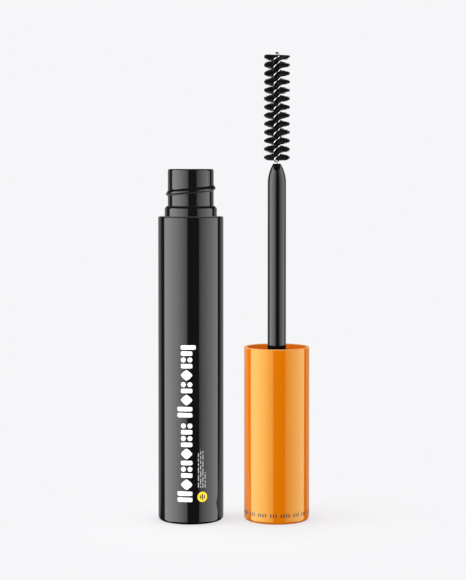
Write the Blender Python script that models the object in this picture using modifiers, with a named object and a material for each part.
"""Mascara tube, opened: the bottle stands beside its applicator, which rests on its closed end.

Metres, +Z up. The origin is on the surface that both pieces stand on, midway between their axes.
The bottle's axis is at -X and the applicator's at +X.

    bottle      outer_tube, vial, wiper
    seal_ring   seal_ring, loose around the rod inside the cap
    applicator  cap_shell, inner_cap, rod, core_wire, bristles
"""

import math

import bmesh
import bpy

MM = 0.001

# Driving dimensions, in millimetres.
BODY_R = 8.5  # outside of the bottle and of the cap, which close to one plain cylinder
AXIS_DISTANCE = 22.4
SHELL_WALL = 0.8
BASE_FILLET = 1.0
SOFT_EDGE = 0.3
GAP = 0.3  # play between two pieces that meet

SHOULDER_Z = 79.2
COLLAR_R, COLLAR_TOP_Z, COLLAR_EDGE = 6.8, 81.9, 0.7
NECK_R, NECK_TOP_Z, NECK_BORE_R = 5.975, 91.5, 4.5
WIPER_SEAT_R, WIPER_SEAT_DEPTH = 5.2, 0.8
VIAL_WALL, VIAL_FLOOR = 0.8, 0.7
FLANGE_DEPTH = 1.3

THREAD_PITCH = 3.1
THREAD_RIDGE_R = 0.54  # the ridge is a half-round of this radius
THREAD_FADE_TURNS = 0.12  # length over which each end of the ridge sinks into its wall
THREAD_END_SIZE = 0.25  # size of the ridge at its ends, over its full size
THREAD_STEPS = 20  # per turn
NECK_THREAD_Z = 85.7  # height of the ridge at the front, -Y
NECK_THREAD_TURNS = 1.25

WIPER_WALL = 0.5
WIPER_LENGTH = 12.0
WIPER_ORIFICE_R = 2.3

CAP_HEIGHT = 45.2
CAP_END_WALL = 1.2
INNER_RIM_Z = 42.3
INNER_BORE_R = 6.7
WEB_TOP_Z, WEB_DEPTH = 31.8, 2.0
SOCKET_BOTTOM_Z, SOCKET_R = 17.3, 4.0
CAP_THREAD_Z = 40.0
CAP_THREAD_TURNS = 1.1

ROD_R = 2.4
ROD_TIP_Z, ROD_TIP_R = 92.9, 0.95
OGIVE_HEIGHT = 5.1
WIRE_BORE_R, WIRE_BORE_DEPTH = 0.72, 13.5

STRAND_R = 0.25  # one half of the folded wire
STRAND_IN_ROD, STRAND_IN_BRUSH, STRAND_IN_LOOP = 0.33, 0.62, 0.38  # its distance from the axis
WIRE_TOP_Z = 122.0
BRUSH_R = 3.4
BRUSH_BOTTOM_Z, BRUSH_TOP_Z = 93.7, 121.1
BRUSH_PITCH = 4.36  # one full turn of the twist, which shows as two rows of lobes
LOBE_THICKNESS = 1.7
LOBE_Z = 94.5  # height of the lowest lobe, at +X and at -X
HUB_BORE_R, HUB_R = 0.95, 1.35

SEAL_R, SEAL_HOLE_R, SEAL_THICKNESS = 6.0, 2.7, 1.0

ROUND = 40  # sides of a large turned piece
ROUND_SMALL = 24

parts = None
cutters = None


# Scene, materials and placing


def clear_scene():
    for obj in list(bpy.data.objects):
        bpy.data.objects.remove(obj, do_unlink=True)
    for collection in list(bpy.data.collections):
        bpy.data.collections.remove(collection)


def new_collection(name):
    collection = bpy.data.collections.new(name)
    bpy.context.scene.collection.children.link(collection)
    return collection


def linear(hex_colour):
    """Linear RGBA from an sRGB hex string such as 'DE7500'."""
    channels = [int(hex_colour[i : i + 2], 16) / 255 for i in (0, 2, 4)]
    return [c / 12.92 if c <= 0.04045 else ((c + 0.055) / 1.055) ** 2.4 for c in channels] + [1.0]


def material(name, hex_colour, roughness, metallic=0.0):
    made = bpy.data.materials.new(name)
    made.use_nodes = True
    shader = made.node_tree.nodes["Principled BSDF"]
    shader.inputs["Base Color"].default_value = linear(hex_colour)
    shader.inputs["Roughness"].default_value = roughness
    shader.inputs["Metallic"].default_value = metallic
    return made


def axis_empty(name, x):
    empty = bpy.data.objects.new(name, None)
    empty.location = (x * MM, 0, 0)
    parts.objects.link(empty)
    return empty


def place(obj, axis, surface):
    """Put a finished shape on its axis, in the parts collection, with its material."""
    obj.data.materials.clear()
    obj.data.materials.append(surface)
    obj.parent = axis
    obj.data.shade_smooth()
    obj.data.set_sharp_from_angle(angle=math.radians(35))
    parts.objects.link(obj)
    return obj


def as_cutter(obj, axis):
    obj.parent = axis
    obj.hide_render = True
    obj.display_type = "WIRE"
    cutters.objects.link(obj)
    return obj


# Shapes


def arc(centre_r, centre_z, radius, start, end, steps=5):
    """Points of a round edge in the profile plane, with the angles in degrees from +X towards +Z."""
    angles = [math.radians(start + (end - start) * i / steps) for i in range(steps + 1)]
    return [(centre_r + radius * math.cos(a), centre_z + radius * math.sin(a)) for a in angles]


def turned(name, profile, sides=ROUND, closed=False):
    """A solid of revolution. The profile holds (radius, height) in mm and runs down its outer side.

    An open profile starts and ends on the axis, and a closed one is the section of a ring.
    """
    points = [(r * MM, 0, z * MM) for r, z in profile]
    edges = [(i, i + 1) for i in range(len(points) - 1)]
    if closed:
        edges.append((len(points) - 1, 0))
    mesh = bpy.data.meshes.new(name)
    mesh.from_pydata(points, edges, [])
    obj = bpy.data.objects.new(name, mesh)
    screw = obj.modifiers.new("turn", "SCREW")
    screw.steps = screw.render_steps = sides
    screw.use_merge_vertices = True
    screw.merge_threshold = 0.00001
    return obj


def evaluated_mesh(obj):
    """The mesh of a temporary object, welded and with its ends closed. The object itself is removed."""
    cutters.objects.link(obj)
    graph = bpy.context.evaluated_depsgraph_get()
    mesh = bpy.data.meshes.new_from_object(obj.evaluated_get(graph), depsgraph=graph)
    bpy.data.objects.remove(obj, do_unlink=True)
    shape = bmesh.new()
    shape.from_mesh(mesh)
    bmesh.ops.remove_doubles(shape, verts=shape.verts, dist=0.000001)
    open_edges = [edge for edge in shape.edges if edge.is_boundary]
    if open_edges:
        bmesh.ops.holes_fill(shape, edges=open_edges, sides=0)
    bmesh.ops.recalc_face_normals(shape, faces=shape.faces)
    shape.to_mesh(mesh)
    shape.free()
    return mesh


def wire_curve(name, points, radius, radii=None):
    """A round wire through points in mm, as a poly curve. radii scales it point by point."""
    curve = bpy.data.curves.new(name, "CURVE")
    curve.dimensions = "3D"
    curve.bevel_depth = radius * MM
    curve.bevel_resolution = 2
    curve.use_fill_caps = True
    spline = curve.splines.new("POLY")
    spline.points.add(len(points) - 1)
    for i, (point, (x, y, z)) in enumerate(zip(spline.points, points)):
        point.co = (x * MM, y * MM, z * MM, 1)
        point.radius = radii[i] if radii else 1.0
    return bpy.data.objects.new(name, curve)


def thread_ridge(name, wall_r, mid_z, turns, into_wall):
    """A half-round helical ridge on a wall, right-handed, which fades into the wall at both ends.

    into_wall is -1 where the wall is inside the ridge, as on a neck, and +1 where it is outside.
    """
    steps = round(turns * THREAD_STEPS)
    points, scales = [], []
    for i in range(steps + 1):
        along = i / steps - 0.5
        angle = 2 * math.pi * turns * along
        fade = min(1.0, (0.5 - abs(along)) * turns / THREAD_FADE_TURNS)
        radius = wall_r + into_wall * 0.6 * THREAD_RIDGE_R * (1 - fade)
        height = mid_z + THREAD_PITCH * turns * along
        points.append((radius * math.sin(angle), -radius * math.cos(angle), height))
        scales.append(THREAD_END_SIZE + (1 - THREAD_END_SIZE) * fade)
    curve = wire_curve(name, points, THREAD_RIDGE_R, scales)
    return bpy.data.objects.new(name, evaluated_mesh(curve))


def join(obj, other):
    modifier = obj.modifiers.new(other.name, "BOOLEAN")
    modifier.operation = "UNION"
    modifier.object = other
    modifier.solver = "EXACT"


# Bottle


def outer_tube(axis, surface):
    inner_r = BODY_R - SHELL_WALL
    profile = [(0, SHELL_WALL)]
    profile += arc(inner_r - 0.5, SHELL_WALL + 0.5, 0.5, -90, 0, 3)
    profile += [(inner_r, SHOULDER_Z)]
    profile += arc(BODY_R - SOFT_EDGE, SHOULDER_Z - SOFT_EDGE, SOFT_EDGE, 90, 0, 3)
    profile += arc(BODY_R - BASE_FILLET, BASE_FILLET, BASE_FILLET, 0, -90)
    profile += [(0, 0)]
    return place(turned("outer_tube", profile), axis, surface)


def vial(axis, surface):
    """The inner bottle: a thin wall, a flange that closes the outer tube, and the threaded neck."""
    body_r = BODY_R - SHELL_WALL - GAP - 0.05
    inner_r = body_r - VIAL_WALL
    floor_z = SHELL_WALL + GAP
    inside_z = floor_z + VIAL_FLOOR
    flange_z = SHOULDER_Z - FLANGE_DEPTH
    profile = [(0, inside_z)]
    profile += arc(inner_r - 1, inside_z + 1, 1, -90, 0, 3)
    profile += [(inner_r, flange_z - 2), (NECK_BORE_R, flange_z)]
    profile += [(NECK_BORE_R, NECK_TOP_Z - WIPER_SEAT_DEPTH)]
    profile += [(WIPER_SEAT_R, NECK_TOP_Z - WIPER_SEAT_DEPTH), (WIPER_SEAT_R, NECK_TOP_Z)]
    profile += arc(NECK_R - SOFT_EDGE, NECK_TOP_Z - SOFT_EDGE, SOFT_EDGE, 90, 0, 3)
    profile += [(NECK_R, COLLAR_TOP_Z)]
    profile += arc(COLLAR_R - COLLAR_EDGE, COLLAR_TOP_Z - COLLAR_EDGE, COLLAR_EDGE, 80, 0, 4)
    profile += [(COLLAR_R, SHOULDER_Z), (BODY_R - SHELL_WALL - GAP, SHOULDER_Z)]
    profile += [(BODY_R - SHELL_WALL - GAP, flange_z), (body_r, flange_z)]
    profile += arc(body_r - 1, floor_z + 1, 1, 0, -90, 3)
    profile += [(0, floor_z)]
    obj = turned("vial", profile)
    ridge = thread_ridge("neck_thread", NECK_R, NECK_THREAD_Z, NECK_THREAD_TURNS, -1)
    join(obj, as_cutter(ridge, axis))
    return place(obj, axis, surface)


def wiper(axis, surface):
    """The sleeve in the neck: a flange in the seat, a tube, and a cone down to the wiping lip."""
    tube_r = NECK_BORE_R - GAP
    seat_z = NECK_TOP_Z - WIPER_SEAT_DEPTH + GAP
    cone_z = NECK_TOP_Z - WIPER_LENGTH + 4
    lip_z = NECK_TOP_Z - WIPER_LENGTH
    profile = [(WIPER_SEAT_R - GAP, NECK_TOP_Z), (WIPER_SEAT_R - GAP, seat_z), (tube_r, seat_z)]
    profile += [(tube_r, cone_z), (WIPER_ORIFICE_R + WIPER_WALL, lip_z), (WIPER_ORIFICE_R, lip_z)]
    profile += [(tube_r - WIPER_WALL, cone_z + 0.2), (tube_r - WIPER_WALL, NECK_TOP_Z)]
    return place(turned("wiper", profile, ROUND_SMALL, closed=True), axis, surface)


# Applicator, standing on its closed end


def cap_shell(axis, surface):
    inner_r = BODY_R - SHELL_WALL
    rim = SHELL_WALL / 2
    profile = [(0, CAP_END_WALL)]
    profile += arc(inner_r - 0.5, CAP_END_WALL + 0.5, 0.5, -90, 0, 3)
    profile += arc(BODY_R - rim, CAP_HEIGHT - rim, rim, 180, 0, 6)
    profile += arc(BODY_R - BASE_FILLET, BASE_FILLET, BASE_FILLET, 0, -90)
    profile += [(0, 0)]
    return place(turned("cap_shell", profile), axis, surface)


def inner_cap(axis, surface):
    """The threaded skirt, the web that the seal lies on, and the blind socket that grips the rod."""
    skirt_r = BODY_R - SHELL_WALL - GAP
    socket_bore_r = ROD_R + GAP
    web_z = WEB_TOP_Z - WEB_DEPTH
    profile = [(0, SOCKET_BOTTOM_Z + SOCKET_R - socket_bore_r)]
    profile += [(socket_bore_r, SOCKET_BOTTOM_Z + SOCKET_R - socket_bore_r)]
    profile += [(socket_bore_r, WEB_TOP_Z), (INNER_BORE_R, WEB_TOP_Z)]
    profile += [(INNER_BORE_R, INNER_RIM_Z), (skirt_r, INNER_RIM_Z)]
    profile += [(skirt_r, web_z), (SOCKET_R, web_z), (SOCKET_R, SOCKET_BOTTOM_Z), (0, SOCKET_BOTTOM_Z)]
    obj = turned("inner_cap", profile)
    ridge = thread_ridge("cap_thread", INNER_BORE_R, CAP_THREAD_Z, CAP_THREAD_TURNS, 1)
    join(obj, as_cutter(ridge, axis))
    return place(obj, axis, surface)


def seal_ring(axis, surface):
    bottom = WEB_TOP_Z + GAP
    top = bottom + SEAL_THICKNESS
    profile = [(SEAL_R, top), (SEAL_R, bottom), (SEAL_HOLE_R, bottom), (SEAL_HOLE_R, top)]
    return place(turned("seal_ring", profile, ROUND_SMALL, closed=True), axis, surface)


def rod(axis, surface):
    """A plain rod with an ogive end, and the blind hole that the wire is pressed into."""
    root_z = SOCKET_BOTTOM_Z + SOCKET_R - ROD_R
    drop = ROD_R - ROD_TIP_R
    ogive_r = (drop**2 + OGIVE_HEIGHT**2) / (2 * drop)
    tip_angle = math.degrees(math.asin(OGIVE_HEIGHT / ogive_r))
    profile = [(0, ROD_TIP_Z - WIRE_BORE_DEPTH), (WIRE_BORE_R, ROD_TIP_Z - WIRE_BORE_DEPTH)]
    profile += [(WIRE_BORE_R, ROD_TIP_Z)]
    profile += arc(ROD_R - ogive_r, ROD_TIP_Z - OGIVE_HEIGHT, ogive_r, tip_angle, 0, 6)
    profile += [(ROD_R, root_z), (0, root_z)]
    return place(turned("rod", profile, ROUND_SMALL), axis, surface)


def core_wire(axis, surface):
    """One wire folded in two and twisted: up one strand, over the loop and down the other."""
    bottom = ROD_TIP_Z - WIRE_BORE_DEPTH + GAP
    bend_z = WIRE_TOP_Z - STRAND_R - STRAND_IN_LOOP
    steps = round((bend_z - bottom) / BRUSH_PITCH * 5)
    strand = []
    for i in range(steps + 1):
        height = bottom + (bend_z - bottom) * i / steps
        angle = 2 * math.pi * (height - bend_z) / BRUSH_PITCH
        if height < ROD_TIP_Z:
            offset = STRAND_IN_ROD
        elif height < BRUSH_TOP_Z:
            offset = STRAND_IN_BRUSH
        else:
            offset = STRAND_IN_LOOP
        strand.append((offset * math.cos(angle), offset * math.sin(angle), height))
    bend = arc(0, bend_z, STRAND_IN_LOOP, 45, 135, 2)
    back = [(-x, -y, z) for x, y, z in reversed(strand)]
    curve = wire_curve("wire_path", strand + [(r, 0, z) for r, z in bend] + back, STRAND_R)
    obj = bpy.data.objects.new("core_wire", evaluated_mesh(curve))
    return place(obj, axis, surface)


def helical_flight(name, start_angle, start_z, end_z):
    """One row of the twisted brush: a lens-shaped section swept up the helix, with closed ends."""
    root_r, mid_r = HUB_R - 0.2, 2.3
    half = LOBE_THICKNESS / 2
    section = [(root_r, 0.35), (mid_r, half), (BRUSH_R - 0.35, 0.7 * half), (BRUSH_R, 0)]
    section += [(r, -h) for r, h in reversed(section[:-1])]
    points = [(r * MM, 0, (start_z + h) * MM) for r, h in section]
    mesh = bpy.data.meshes.new(name)
    mesh.from_pydata(points, [(i, (i + 1) % len(points)) for i in range(len(points))], [])
    guide = bpy.data.objects.new(name, mesh)
    turns = (end_z - start_z) / BRUSH_PITCH
    screw = guide.modifiers.new("twist", "SCREW")
    screw.angle = 2 * math.pi * turns
    screw.screw_offset = (end_z - start_z) * MM
    screw.steps = screw.render_steps = round(turns * 12)
    obj = bpy.data.objects.new(name, evaluated_mesh(guide))
    obj.rotation_euler.z = start_angle
    return obj


def bristles(axis, surface):
    """The brush as a twin helix on a hub that surrounds the wire."""
    hub = [(HUB_R, BRUSH_TOP_Z), (HUB_R, BRUSH_BOTTOM_Z)]
    hub += [(HUB_BORE_R, BRUSH_BOTTOM_Z), (HUB_BORE_R, BRUSH_TOP_Z)]
    obj = turned("bristles", hub, ROUND_SMALL // 2, closed=True)
    start_z = BRUSH_BOTTOM_Z + LOBE_THICKNESS / 2
    end_z = BRUSH_TOP_Z - LOBE_THICKNESS / 2
    first = 2 * math.pi * (start_z - LOBE_Z) / BRUSH_PITCH
    for i in range(2):
        flight = helical_flight(f"flight_{i}", first + i * math.pi, start_z, end_z)
        join(obj, as_cutter(flight, axis))
    return place(obj, axis, surface)


def build():
    global parts, cutters
    clear_scene()
    parts = new_collection("mascara_tube")
    cutters = new_collection("cutters")

    black_gloss = material("black_gloss_abs", "141414", 0.12)
    vial_black = material("black_polypropylene", "151515", 0.16)
    wiper_grey = material("soft_polyethylene", "2A2A2C", 0.45)
    orange_gloss = material("orange_gloss_abs", "DE7500", 0.12)
    cap_black = material("inner_cap_polypropylene", "1A1A1B", 0.35)
    rod_black = material("rod_acetal", "131313", 0.15)
    seal_white = material("seal_foam", "D8D6D0", 0.8)
    steel = material("stainless_wire", "B9BABD", 0.25, 1.0)
    nylon = material("black_nylon_fibre", "171717", 0.5)

    bottle_axis = axis_empty("bottle_axis", -AXIS_DISTANCE / 2)
    outer_tube(bottle_axis, black_gloss)
    vial(bottle_axis, vial_black)
    wiper(bottle_axis, wiper_grey)

    applicator_axis = axis_empty("applicator_axis", AXIS_DISTANCE / 2)
    cap_shell(applicator_axis, orange_gloss)
    inner_cap(applicator_axis, cap_black)
    seal_ring(applicator_axis, seal_white)
    rod(applicator_axis, rod_black)
    core_wire(applicator_axis, steel)
    bristles(applicator_axis, nylon)


build()
